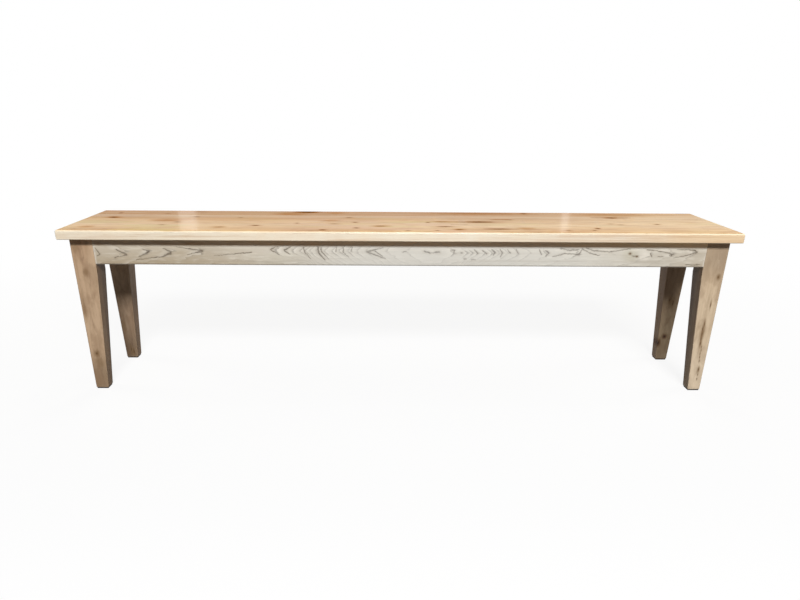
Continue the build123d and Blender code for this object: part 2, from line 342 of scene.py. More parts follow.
def oak(name, directions, seed, rings, palette, line_strength, fibre_strength, mottle, roughness, knots=(),
        dashes=(), strokes=(), stains=(), washes=(), veils=(), early_strength=0.3, check_strength=0.85,
        bump_depth=0.0004, edge_pale=0.5, coat=0.0, specular=0.2):
    """Rustic oak. Washes lay other tones under its grain lines, and veils over them: each gives a mask
    and a colour for the board. Knots, dashes and stains are ovals, and a coat is varnish."""
    finish = Finish(name)
    board = Board(finish, directions, seed)
    near_knot = board.ovals(knots)
    late, early = growth_rings(board, near_knot=near_knot, **rings)

    # Fibres, pores and slow changes of tone
    streaks = board.fibre(3.0, 90.0, 6.0, 4.0, 0.62)
    fine = board.fibre(28.0, 900.0, 7.0, 2.0)
    pores = board.fibre(160.0, 2600.0, 8.0, 1.0).between(0.6, 0.72) * (late * 0.7 + 0.3)
    slow = board.fibre(2.5, 9.0, 9.0, 3.0)
    patches = board.fibre(9.0, 30.0, 10.0, 4.0)
    colour = finish.mix(slow.between(0.35, 0.65) * mottle, palette["pale"], palette["warm"])
    colour = finish.mix(patches.between(0.48, 0.72) * (mottle * 0.6), colour, palette["dark"])
    for wash in washes:
        mask, wash_tone = wash(board)
        colour = finish.mix(mask, colour, wash_tone)
    colour = finish.mix(streaks.between(0.45, 0.7) * fibre_strength, colour, palette["dark"])
    colour = finish.mix(fine.between(0.5, 0.8) * (fibre_strength * 0.5), colour, palette["dark"])
    colour = finish.mix(early * early_strength, colour, palette["worn"])
    colour = finish.mix(late * line_strength, colour, palette["line"])
    colour = finish.mix(pores * 0.4, colour, palette["line"])

    # End grain and worn edges
    colour = finish.mix(board.end_grain * 0.3, colour, palette["dark"])
    edge = finish.node("ShaderNodeAttribute", {"attribute_name": "edge"}, out="Fac")
    rubbed = edge * board.fibre(12.0, 60.0, 11.0, 3.0).between(0.1, 0.5)
    colour = finish.mix(rubbed * edge_pale, colour, palette["worn"])

    # Stains, drawn lines, short dark checks and knots
    stain = board.ovals(stains, 1.2).between(0.2, 1.6, 1.0, 0.0)
    near_line = board.strokes(strokes)
    drawn = near_line.between(0.3, 1.7, 1.0, 0.0) * (board.fibre(50.0, 90.0, 29.0, 2.0) * 0.8 + 0.4)
    near_check = board.ovals(dashes, 1.0)
    check = near_check.between(0.5, 1.5, 1.0, 0.0)
    knot = near_knot.between(0.6, 1.7, 1.0, 0.0)
    heart = near_knot.between(0.3, 0.75, 1.0, 0.0)
    colour = finish.mix(stain * 0.5, colour, palette["stain"])
    colour = finish.mix(near_line.between(0.8, 5.0, 0.22, 0.0), colour, palette["dark"])
    colour = finish.mix(drawn.at_most(1.0) * 0.85, colour, palette["line"])
    for veil in veils:
        mask, veil_tone = veil(board)
        colour = finish.mix(mask, colour, veil_tone)
    halo = near_knot.between(0.8, 2.6, 0.45, 0.0).at_least(near_check.between(0.8, 3.0, 0.4, 0.0))
    colour = finish.mix(halo, colour, palette["stain"])
    colour = finish.mix(knot * 0.75, colour, palette["knot"])
    colour = finish.mix(heart * 0.8, colour, palette["heart"])
    colour = finish.mix(check * check_strength, colour, palette["check"])
    colour = finish.mix(near_check.between(0.1, 0.9, check_strength, 0.0), colour, palette["heart"])

    shine = (late * 0.08 + streaks * 0.1 + knot * 0.1) + (roughness - 0.05)
    fibre_height = fine * 0.35 + streaks * 0.4
    mark_depth = heart * 0.8 + check + drawn * 0.4
    height = (late * -0.35 - pores * 0.8) + fibre_height - mark_depth
    dulled = (check + knot + stain * 0.6).at_most(1.0) * 0.9
    varnish = (1 - dulled) * coat if coat else 0.0
    return finish.surface(colour, shine, height, bump_depth, Coat_Weight=varnish, Coat_Roughness=0.12,
                          Specular_IOR_Level=specular)


def ring_curve(points, low, high, fewest, most):
    """A ring count drawn along a board, as pairs of (place, count)."""
    spread = most - fewest
    scaled = [((place - low) / (high - low), (count - fewest) / spread) for place, count in points]

    def ring_line(finish, along):
        share = (along - low) / (high - low)
        return finish.node("ShaderNodeFloatCurve", {"points": scaled}, 1.0, share) * spread + fewest
    return ring_line


def ring_wander(rings, per_metre, seed):
    """A ring count that wanders along a board without a drawn plan."""
    def ring_line(finish, along):
        return finish.noise(finish.vector(along * per_metre + seed, seed, 0.0), 1.0, 1.0) * rings
    return ring_line


def faint_rings(ring_line, middle):
    """The growth rings of a seat board or leg."""
    return dict(ring_line=ring_line, middle=middle, point=2.5, cup=40.0, line=0.003)


# Softwood, felt and steel for the pieces under the seat


def softwood(name, directions, seed):
    """Bare planed softwood, with soft amber lines along its fibres."""
    finish = Finish(name)
    board = Board(finish, directions, seed)
    rings = board.depth * 260 + board.across * 90 + board.fibre(3.0, 14.0) * 5
    line = rings.fraction().between(0.55, 0.95) * 0.5
    streaks = board.fibre(4.0, 200.0, 2.0, 3.0)
    slow = board.fibre(3.0, 12.0, 3.0).between(0.3, 0.7)
    colour = finish.mix(slow, tone(205, 172, 124), tone(190, 150, 104))
    colour = finish.mix(line, colour, tone(160, 112, 66))
    colour = finish.mix(streaks.between(0.5, 0.75) * 0.4, colour, tone(150, 112, 74))
    colour = finish.mix(board.end_grain * 0.4, colour, tone(130, 96, 62))
    return finish.surface(colour, streaks * 0.15 + 0.55, streaks - line * 0.5, 0.0003)


def felt(name):
    """Pressed felt with a fuzzy, fibrous face."""
    finish = Finish(name)
    fuzz = finish.noise(finish.place, 900.0, 3.0, 0.7)
    clumps = finish.noise(finish.place, 160.0, 2.0)
    colour = finish.mix(fuzz.between(0.35, 0.7), tone(38, 32, 28), tone(78, 66, 56))
    colour = finish.mix(clumps.between(0.4, 0.7) * 0.4, colour, tone(30, 25, 22))
    return finish.surface(colour, 0.95, fuzz + clumps, 0.0006)


def zinc(name):
    """Zinc-plated steel, a little dulled."""
    finish = Finish(name)
    dull = finish.noise(finish.place, 400.0, 3.0, 0.6)
    colour = finish.mix(dull, tone(176, 174, 166), tone(140, 138, 130))
    return finish.surface(colour, dull * 0.25 + 0.25, dull, 0.0001, Metallic=1.0)


# Boards made from the model's own pieces


def cut_across(bm, axis, spacing):
    """Cuts a board across its length, so that its edges can be worn."""
    places = [vert.co[axis] for vert in bm.verts]
    low, high = min(places), max(places)
    count = max(2, round((high - low) / spacing))
    normal = Vector([1.0 if i == axis else 0.0 for i in range(3)])
    faces = bm.faces[:]
    for index in range(1, count):
        place = low + (high - low) * index / count
        edges = dict.fromkeys(edge for face in faces for edge in face.edges)
        verts = dict.fromkeys(vert for face in faces for vert in face.verts)
        cut = bmesh.ops.bisect_plane(bm, geom=[*verts, *edges, *faces], dist=merge_distance,
                                     plane_co=normal * place, plane_no=normal)
        faces = [part for part in cut["geom"] if isinstance(part, bmesh.types.BMFace)
                 and max(vert.co[axis] for vert in part.verts) > place + merge_distance]


def edge_weights(bm):
    """How much each vertex belongs to a rounded outer edge, from 0 on flat faces to 1."""
    bm.normal_update()
    weights = {}
    for vert in bm.verts:
        squareness = max(abs(part) for part in vert.normal)
        weights[vert] = min(1.0, max(0.0, (flat_squareness - squareness) / edge_span))
    return weights


def wear(bm, weights, depth, seed):
    """Rubs the edges down unevenly, with a few deeper knocks."""
    for vert, weight in weights.items():
        if weight <= 0:
            continue
        rub = noise.noise(vert.co * rub_waves + Vector((seed, 0, 0))) * 0.5 + 0.5
        knock = max(0.0, noise.noise(vert.co * knock_waves + Vector((0, seed, 0))) - knock_level) * 2
        vert.co -= vert.normal * depth * weight * (0.6 * rub + knock)


def dressed(node, material, axis, seed, depth=edge_wear, ease_seams=False):
    """A worn copy of one board of the model, in its place. Its long axis is 0, 1 or 2 for x, y or z."""
    bm = bmesh.new()
    bm.from_mesh(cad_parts[node].data)
    bmesh.ops.remove_doubles(bm, verts=bm.verts[:], dist=merge_distance)
    bmesh.ops.dissolve_limit(bm, angle_limit=flat_angle, verts=bm.verts[:], edges=bm.edges[:])
    if ease_seams:
        ease_seam_edges(bm)
    cut_across(bm, axis, cut_spacing)
    weights = edge_weights(bm)
    wear(bm, weights, depth, seed)
    shares = [weights[vert] for vert in bm.verts]
    mesh = bpy.data.meshes.new(node + "_worn")
    bm.to_mesh(mesh)
    bm.free()
    edge = mesh.attributes.new("edge", "FLOAT", "POINT")
    edge.data.foreach_set("value", shares)
    for polygon in mesh.polygons:
        polygon.use_smooth = True
    mesh.set_sharp_from_angle(angle=sharp_angle)
    mesh.materials.append(material)
    piece = bpy.data.objects.new(node + "_worn", mesh)
    bpy.context.scene.collection.objects.link(piece)
    weighted = piece.modifiers.new("even shading", "WEIGHTED_NORMAL")
    weighted.keep_sharp = True
    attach(piece, "root")
    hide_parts(node)


def ease_seam_edges(bm):
    """Breaks the long edges of each glue face, so that the seams show as fine lines."""
    edges = set()
    for face in bm.faces:
        at_seam = any(abs(face.calc_center_median().y - seam) < merge_distance for seam in seams)
        if abs(face.normal.y) > flat_squareness and at_seam:
            edges.update(face.edges)
    outer = [edge for edge in edges
             if all(abs(vert.co.z - seat_low.z) < merge_distance for vert in edge.verts)
             or all(abs(vert.co.z - seat_high.z) < merge_distance for vert in edge.verts)]
    bmesh.ops.bevel(bm, geom=outer, offset=seam_easing, offset_type="OFFSET", segments=1, profile=0.5,
                    affect="EDGES", clamp_overlap=True, material=-1)


# Seat

honey = dict(pale=tone(238, 198, 140), warm=tone(218, 167, 105), dark=tone(176, 119, 64),
             worn=tone(255, 244, 216), line=tone(132, 84, 24), stain=tone(172, 106, 30),
             check=tone(128, 80, 20), knot=tone(140, 84, 22), heart=tone(98, 56, 12))


def upright_faces(board):
    """The seat's edges all round."""
    return board.facing["z"].between(0.35, 0.8, 1.0, 0.0)


def browner_back(board):
    """The wood turns browner towards the back, in soft patches."""
    away = board.finish.y + board.fibre(4.0, 9.0, 31.0, 3.0) * 0.16
    return away.between(0.02, 0.2, 0.0, 0.8), tone(184, 132, 74)


def rosy(board):
    """The middle of the seat is pinker."""
    middle = (board.along * board.along).between(0.0, 0.16, 0.5, 0.0)
    return middle * board.fibre(5.0, 22.0, 21.0, 3.0).between(0.4, 0.6), tone(226, 178, 148)


def paler_right_end(board):
    """The right end of the seat is paler."""
    return board.along.between(0.35, 0.8, 0.0, 0.45), tone(250, 210, 150)


def straw(board):
    """Yellow sapwood in slow patches."""
    return board.fibre(3.5, 12.0, 22.0, 3.0).between(0.48, 0.66) * 0.7, tone(214, 186, 108)


def blushed(board):
    """Orange and brown blotches of the varnish."""
    return board.fibre(13.0, 36.0, 27.0, 4.0).between(0.48, 0.62) * 0.42, tone(204, 146, 86)


def painted_light_sides(board):
    """The upright edges of the seat are painted paler and less yellow than its top: painted light, as the
    front lamp falls on them more fully.
    """
    uneven = board.fibre(18.0, 20.0, 23.0, 3.0) * 0.4 + 0.7
    return upright_faces(board) * uneven, tone(240, 230, 210)


def warm_right_end(board):
    """The upright edges turn more orange at the right end."""
    return upright_faces(board) * board.along.between(0.55, 0.86) * 0.7, tone(228, 192, 144)


seat_washes = (straw, rosy, browner_back, paler_right_end, blushed, painted_light_sides, warm_right_end)


def seat_oak(name, seed, middle, ring_line, dashes, **marks):
    """Varnished honey oak with faint rings and fine dashes."""
    fine = [(along, across, length, width * dash_fineness_share) for along, across, length, width in dashes]
    return oak(name, "xyz", seed, faint_rings(ring_line, middle), honey, washes=seat_washes, dashes=fine,
               line_strength=0.3, early_strength=0.12, fibre_strength=0.36, check_strength=0.72, mottle=0.8,
               roughness=0.42, bump_depth=0.00015, edge_pale=0.8, coat=0.3, specular=0.0, **marks)


seat_boards = {
    "seat_board_front": seat_oak(
        "honey oak front", 3.1, -0.13, ring_wander(9.0, 1.6, 4.0),
        knots=[(-0.207, -0.149, 0.008, 0.006), (0.532, -0.105, 0.006, 0.007)],
        dashes=[(-0.648, -0.085, 0.009, 0.006), (-0.484, -0.113, 0.010, 0.005),
                (-0.395, -0.085, 0.010, 0.011), (-0.119, -0.117, 0.006, 0.010),
                (-0.055, -0.085, 0.014, 0.007), (0.121, -0.089, 0.021, 0.010),
                (0.263, -0.121, 0.026, 0.0135), (0.155, -0.133, 0.010, 0.009),
                (0.443, -0.141, 0.010, 0.006), (0.515, -0.133, 0.005, 0.008),
                (0.017, -0.153, 0.006, 0.005), (0.095, -0.149, 0.005, 0.006)],
        strokes=[(-0.868, -0.153, -0.772, -0.154, 0.001, 0.002),
                 (-0.290, -0.155, -0.212, -0.155, 0.001, 0.002),
                 (0.225, -0.120, 0.310, -0.121, 0.0025, 0.0015)],
        stains=[(0.339, -0.113, 0.024, 0.018), (0.155, -0.133, 0.016, 0.014), (-0.055, -0.085, 0.026, 0.014),
                (-0.490, -0.115, 0.022, 0.010), (-0.840, -0.120, 0.020, 0.016)]),
    "seat_board_front_inner": seat_oak(
        "honey oak front inner", 8.7, -0.03, ring_wander(8.0, 1.3, 7.0),
        dashes=[(-0.620, -0.037, 0.008, 0.008), (-0.183, -0.053, 0.010, 0.006),
                (-0.287, -0.045, 0.005, 0.008), (0.077, -0.020, 0.005, 0.009),
                (0.222, -0.009, 0.036, 0.020), (0.591, -0.029, 0.009, 0.006),
                (0.615, -0.043, 0.009, 0.005), (0.719, -0.033, 0.007, 0.008),
                (-0.127, -0.025, 0.006, 0.009), (0.115, -0.009, 0.016, 0.005)],
        strokes=[(0.160, -0.010, 0.252, -0.009, 0.003, 0.006),
                 (0.140, -0.056, 0.185, -0.057, 0.001, 0.0015)],
        stains=[(0.125, -0.009, 0.036, 0.014), (-0.195, 0.000, 0.030, 0.016),
                (-0.660, -0.010, 0.040, 0.020)]),
    "seat_board_back_inner": seat_oak(
        "honey oak back inner", 15.3, 0.06, ring_wander(7.0, 1.9, 2.0),
        knots=[(-0.824, 0.037, 0.011, 0.010), (0.623, 0.079, 0.014, 0.009)],
        dashes=[(-0.590, 0.055, 0.009, 0.009), (-0.460, 0.044, 0.006, 0.006),
                (0.315, 0.030, 0.007, 0.009), (-0.147, 0.055, 0.008, 0.008)],
        strokes=[(0.568, 0.079, 0.672, 0.080, 0.0025, 0.003), (0.262, 0.034, 0.318, 0.032, 0.0015, 0.004)],
        stains=[(0.630, 0.080, 0.050, 0.014), (-0.824, 0.037, 0.026, 0.020), (0.290, 0.036, 0.034, 0.012)]),
    "seat_board_back": seat_oak(
        "honey oak back", 21.9, 0.13, ring_wander(9.0, 1.5, 11.0),
        knots=[(-0.832, 0.119, 0.005, 0.006), (-0.279, 0.157, 0.032, 0.016)],
        dashes=[(-0.690, 0.111, 0.009, 0.005), (0.379, 0.150, 0.010, 0.012),
                (-0.600, 0.150, 0.020, 0.005)],
        strokes=[(0.100, 0.150, 0.330, 0.146, 0.001, 0.003), (0.855, 0.170, 0.880, 0.168, 0.003, 0.003)],
        stains=[(-0.325, 0.116, 0.048, 0.026), (-0.279, 0.157, 0.030, 0.018), (-0.195, 0.139, 0.030, 0.016),
                (0.240, 0.140, 0.150, 0.026), (0.640, 0.130, 0.120, 0.030)]),
}
for number, (node, material) in enumerate(seat_boards.items()):
    dressed(node, material, 0, 2.0 + number, seat_edge_wear, ease_seams=True)


# Aprons

grey_oak = dict(pale=tone(196, 184, 164), warm=tone(180, 164, 140), dark=tone(146, 132, 112),
                worn=tone(236, 231, 220), line=tone(84, 72, 60), stain=tone(152, 138, 112),
                check=tone(104, 94, 86), knot=tone(112, 90, 70), heart=tone(66, 54, 46))
front_apron_rings = ring_curve(
    [(-0.90, -0.9), (-0.733, 1.0), (-0.614, 3.0), (-0.529, 4.0), (-0.440, 4.5), (-0.339, 4.0),
     (-0.225, -1.0), (-0.092, -7.0), (0.005, -9.9), (0.082, -10.7), (0.150, -9.9), (0.206, -7.0),
     (0.315, -2.0), (0.396, 0.0), (0.480, 1.0), (0.600, 1.2), (0.730, 3.0), (0.90, 6.0)],
    low=-0.9, high=0.9, fewest=-12.0, most=7.0)


def limed(board):
    """The middle of the front apron is paler, as if limed."""
    away = board.along - 0.2
    return (away * away).between(0.04, 0.55, 0.85, 0.0), tone(212, 209, 200)


def lime_film(board):
    """The lime also lies thinly over the grain lines."""
    away = board.along - 0.15
    return (away * away).between(0.02, 0.2, 0.2, 0.0), tone(210, 211, 208)


def painted_shade_lower_arris(board):
    """A thin dark line along the lower arris: painted shade."""
    start, end = apron_low.z + 1.2 * millimetre, apron_low.z + 4 * millimetre
    return board.finish.z.between(start, end, 0.85, 0.0) * (1 - board.facing["z"]), tone(84, 70, 58)


def pale_burl(board):
    """A pale round spot beside the knots."""
    near_spot = board.ovals([(0.656, 0.391, 0.013, 0.011)], 0.6)
    return near_spot.between(0.3, 1.6, 0.6, 0.0), tone(238, 230, 218)


def green_burl(board):
    """A greenish round patch that the knots sit in."""
    near_patch = board.ovals([(0.618, 0.395, 0.020, 0.016)], 0.5)
    return near_patch.between(0.3, 1.7, 0.4, 0.0), tone(168, 162, 130)


def brown_ends(board):
    """Both ends of the front apron are browner, the left one more so."""
    return abs(board.along - 0.15).between(0.1, 0.85, 0.0, 0.6), tone(166, 147, 117)


def painted_warm_shade(board):
    """The strip under the seat's overhang is painted warmer and browner: painted light, standing in for warm
    light bounced into the overhang's shadow.
    """
    return board.finish.z.between(shade_band_low, shade_band_high, 0.0, 0.95), tone(255, 216, 158)


def painted_shade_left_end(board):
    """Painted shade: the strip under the overhang is darker still at the left end."""
    left = board.along.between(-0.8, -0.1, 0.95, 0.0)
    return board.finish.z.between(shade_band_low, shade_band_high) * left, tone(136, 86, 18)


def pale_streaks(board):
    """Pale flakes between the grain lines."""
    return board.fibre(26.0, 150.0, 28.0, 3.0).between(0.5, 0.7) * 0.24, tone(240, 236, 222)


def green_tinge(board):
    """Slow patches of a greenish grey."""
    return board.fibre(4.0, 14.0, 24.0, 3.0).between(0.45, 0.7) * 0.5, tone(190, 182, 148)


# The front apron's main grain lines, each from (x, z) to (x, z) with its half width at either end
front_apron_strokes = [
    (-0.8150, 0.4070, -0.8045, 0.3900, 0.0006, 0.0016), (-0.8130, 0.3840, -0.8045, 0.3890, 0.0006, 0.0014),
    (-0.7595, 0.4016, -0.7350, 0.3895, 0.0014, 0.0024), (-0.7520, 0.3830, -0.7340, 0.3880, 0.0005, 0.0018),
    (-0.7660, 0.3800, -0.7550, 0.3840, 0.0012, 0.0008),
    (-0.6900, 0.4035, -0.6730, 0.3980, 0.0006, 0.0020), (-0.7020, 0.3825, -0.6730, 0.3970, 0.0008, 0.0024),
    (-0.6335, 0.4055, -0.6160, 0.3970, 0.0010, 0.0026), (-0.6460, 0.3825, -0.6160, 0.3920, 0.0006, 0.0028),
    (-0.6160, 0.3970, -0.6155, 0.3910, 0.0024, 0.0026),
    (-0.5990, 0.4100, -0.5300, 0.3995, 0.0005, 0.0018), (-0.5720, 0.3890, -0.5300, 0.3990, 0.0005, 0.0018),
    (-0.7100, 0.3745, -0.6300, 0.3850, 0.0005, 0.0011), (-0.5000, 0.3870, -0.4000, 0.3960, 0.0005, 0.0010),
    (-0.3485, 0.4040, -0.3300, 0.4120, 0.0016, 0.0008), (-0.3485, 0.4030, -0.3250, 0.3900, 0.0014, 0.0005),
    (-0.3125, 0.4025, -0.2950, 0.4110, 0.0022, 0.0010), (-0.3125, 0.4010, -0.2960, 0.3920, 0.0018, 0.0005),
    (-0.2605, 0.4110, -0.2585, 0.3980, 0.0010, 0.0012), (-0.2585, 0.3980, -0.2410, 0.3790, 0.0012, 0.0005),
    (-0.2215, 0.4110, -0.2205, 0.3960, 0.0020, 0.0022), (-0.2205, 0.3960, -0.2040, 0.3770, 0.0020, 0.0010),
    (-0.2135, 0.4090, -0.2125, 0.3990, 0.0014, 0.0014), (-0.2125, 0.3990, -0.1950, 0.3800, 0.0014, 0.0006),
    (-0.1725, 0.4105, -0.1735, 0.4000, 0.0008, 0.0012), (-0.1540, 0.4090, -0.1550, 0.3980, 0.0010, 0.0014),
    (-0.1550, 0.3980, -0.1400, 0.3840, 0.0012, 0.0005), (-0.1310, 0.4100, -0.1330, 0.4000, 0.0008, 0.0012),
    (-0.0905, 0.3995, -0.0480, 0.4105, 0.0020, 0.0006), (-0.0905, 0.3985, -0.0420, 0.3815, 0.0018, 0.0010),
    (-0.0700, 0.4010, -0.0500, 0.3880, 0.0012, 0.0010), (0.0060, 0.3990, 0.0140, 0.4010, 0.0014, 0.0006),
    (0.0630, 0.4010, 0.0780, 0.3970, 0.0020, 0.0016), (0.0780, 0.3970, 0.0930, 0.3980, 0.0007, 0.0007),
    (0.0930, 0.3995, 0.1020, 0.3995, 0.0022, 0.0022),
    (0.1360, 0.4055, 0.1430, 0.4045, 0.0010, 0.0014), (0.1430, 0.4045, 0.1410, 0.3975, 0.0014, 0.0010),
    (0.1610, 0.3980, 0.1635, 0.3980, 0.0018, 0.0018), (0.1700, 0.3820, 0.1760, 0.3815, 0.0012, 0.0008),
    (0.1900, 0.3800, 0.2000, 0.3795, 0.0012, 0.0008),
    (0.1960, 0.4070, 0.2050, 0.3965, 0.0006, 0.0016), (0.2180, 0.4050, 0.2300, 0.3955, 0.0006, 0.0016),
    (0.2430, 0.4070, 0.2520, 0.3990, 0.0008, 0.0022), (0.2520, 0.3990, 0.2480, 0.3910, 0.0020, 0.0008),
    (0.2640, 0.4080, 0.2720, 0.3980, 0.0006, 0.0014), (0.2720, 0.3980, 0.2660, 0.3870, 0.0012, 0.0006),
    (0.2850, 0.4080, 0.2930, 0.3980, 0.0006, 0.0012), (0.3080, 0.4080, 0.3140, 0.3970, 0.0006, 0.0014),
    (0.3700, 0.4080, 0.3770, 0.3950, 0.0006, 0.0012), (0.3870, 0.4050, 0.3960, 0.3990, 0.0012, 0.0018),
    (0.3960, 0.3990, 0.3890, 0.3890, 0.0016, 0.0008),
    (0.4280, 0.4110, 0.4520, 0.4060, 0.0014, 0.0014), (0.4520, 0.4060, 0.4770, 0.4080, 0.0014, 0.0010),
    (0.4080, 0.3890, 0.4400, 0.3975, 0.0008, 0.0014), (0.4400, 0.3975, 0.4780, 0.3950, 0.0010, 0.0014),
    (0.4780, 0.3950, 0.4850, 0.4085, 0.0012, 0.0008), (0.4850, 0.4100, 0.5080, 0.3985, 0.0014, 0.0010),
    (0.5080, 0.3985, 0.5330, 0.3925, 0.0010, 0.0006), (0.4950, 0.4125, 0.5150, 0.4055, 0.0010, 0.0012),
    (0.5150, 0.4055, 0.5600, 0.4025, 0.0012, 0.0010), (0.5600, 0.4025, 0.6150, 0.4110, 0.0010, 0.0008),
]
# The same from the knots to the right end, where the lines are finer
right_end_strokes = [
    (0.6210, 0.3920, 0.6330, 0.3905, 0.0010, 0.0016), (0.6590, 0.4080, 0.6800, 0.4070, 0.0012, 0.0010),
    (0.6800, 0.4070, 0.7130, 0.4010, 0.0008, 0.0016), (0.7130, 0.4010, 0.7300, 0.3975, 0.0018, 0.0024),
    (0.7280, 0.3970, 0.7260, 0.3920, 0.0016, 0.0010), (0.6700, 0.3985, 0.6750, 0.3905, 0.0008, 0.0012),
    (0.6900, 0.3900, 0.7050, 0.3910, 0.0006, 0.0012),
    (0.7400, 0.4100, 0.7900, 0.4080, 0.0008, 0.0016), (0.7880, 0.4080, 0.7940, 0.4030, 0.0018, 0.0022),
    (0.7940, 0.4030, 0.7760, 0.3960, 0.0020, 0.0012), (0.7760, 0.3960, 0.7340, 0.3870, 0.0012, 0.0005),
    (0.7700, 0.3680, 0.8080, 0.3690, 0.0010, 0.0014),
]
front_apron_strokes += [(*run, width * right_line_fineness_share, end_width * right_line_fineness_share)
                        for *run, width, end_width in right_end_strokes]


def apron_oak(name, directions, seed, middle, ring_line, line_strength=0.85, washes=(), restless=1.5,
              face=0.0, **marks):
    """Greyed oak with plain rings."""
    rings = dict(ring_line=ring_line, middle=middle, point=0.9, cup=20.0, line=0.003, restless=restless,
                 face=face)
    return oak(name, directions, seed, rings, grey_oak, washes=(green_tinge, *washes, painted_shade_lower_arris),
               line_strength=line_strength, fibre_strength=0.3, mottle=0.6, roughness=0.6, **marks)


front_apron_washes = (brown_ends, limed, pale_streaks, green_burl, pale_burl, painted_warm_shade, painted_shade_left_end)
apron_boards = {
    "apron_front": apron_oak(
        "grey oak front", "xzy", 5.2, 0.398, front_apron_rings, 0.7, front_apron_washes, restless=0.4,
        face=apron_low.y, early_strength=0.4, veils=(lime_film,), strokes=front_apron_strokes,
        knots=[(0.615, 0.398, 0.0034, 0.0026), (0.635, 0.3905, 0.0026, 0.0020)]),
    "apron_back": apron_oak(
        "grey oak back", "xzy", 12.4, 0.400, ring_wander(22.0, 1.7, 3.0),
        knots=[(-0.31, 0.388, 0.011, 0.008), (0.52, 0.405, 0.007, 0.005)]),
    "apron_left": apron_oak("grey oak left", "yzx", 18.6, 0.392, ring_wander(12.0, 4.0, 5.0)),
    "apron_right": apron_oak("grey oak right", "yzx", 25.1, 0.402, ring_wander(12.0, 4.0, 9.0)),
}
for number, (node, material) in enumerate(apron_boards.items()):
    along_bench = node in ("apron_front", "apron_back")
    dressed(node, material, 0 if along_bench else 1, 11.0 + number)


# Legs

brown_marks = dict(stain=tone(118, 92, 60), check=tone(122, 92, 58), knot=tone(92, 62, 42),
                   heart=tone(50, 34, 26))
rosy_brown = dict(pale=tone(196, 168, 138), warm=tone(184, 153, 123), dark=tone(140, 108, 80),
                  worn=tone(198, 174, 146), line=tone(104, 76, 56), **brown_marks)
tan_brown = dict(pale=tone(216, 195, 166), warm=tone(202, 179, 150), dark=tone(158, 132, 104),
                 worn=tone(212, 192, 164), line=tone(114, 86, 64), **brown_marks)
# A darker copy of the leg browns for the back legs: painted shade for their place under the seat.
painted_shade_brown = dict(pale=tone(166, 142, 118), warm=tone(150, 126, 102), dark=tone(116, 92, 72),
                    worn=tone(182, 160, 134), line=tone(84, 64, 50), **brown_marks)


def mopped_foot(board):
    """Years of mopping darken the foot."""
    ragged = board.along + board.fibre(12.0, 25.0, 25.0, 3.0) * 0.05
    return ragged.between(0.06, 0.15, 0.55, 0.0), tone(96, 76, 54)


def inward_faces(board):
    """The leg faces that look along the bench, under the seat."""
    return (board.normal["x"] * board.finish.x).between(-0.8, -0.4, 1.0, 0.0)


def painted_shade_inward(board):
    """Painted shade: the inward faces are darker."""
    uneven = board.fibre(9.0, 40.0, 32.0, 3.0) * 0.5 + 0.5
    return inward_faces(board) * uneven, tone(112, 84, 54)


def painted_shade_behind(board):
    """Painted shade: the front legs' inward faces darken away from the bench's front."""
    ragged = board.finish.y + board.fibre(7.0, 60.0, 33.0, 2.0) * 0.03
    return inward_faces(board) * ragged.between(-0.118, -0.085, 0.0, 0.6), tone(62, 48, 36)


def olive_and_painted_light_foot(board):
    """The back right leg is greener towards its foot and painted paler there: a greener tone, and painted
    light on its lower part.
    """
    return board.along.between(0.05, 0.3, 0.5, 0.0), tone(188, 170, 138)


def painted_light_top(board):
    """The back left leg is painted paler towards its top: painted light that lifts the shade under the seat.
    """
    return board.along.between(0.16, 0.3, 0.0, 0.8), tone(200, 174, 146)


def painted_shade_top(board):
    """The front right leg is greyer at its top: painted shade from the seat."""
    return board.along.between(0.31, 0.39, 0.0, 0.6), tone(150, 132, 112)


def paler_foot(board):
    """The front right leg is paler towards its foot."""
    return board.along.between(0.06, 0.19, 0.4, 0.0), tone(236, 218, 192)


def blotched(board):
    """Irregular blotches of finish."""
    return board.fibre(16.0, 34.0, 26.0, 4.0).between(0.47, 0.62) * 0.34, tone(130, 102, 76)


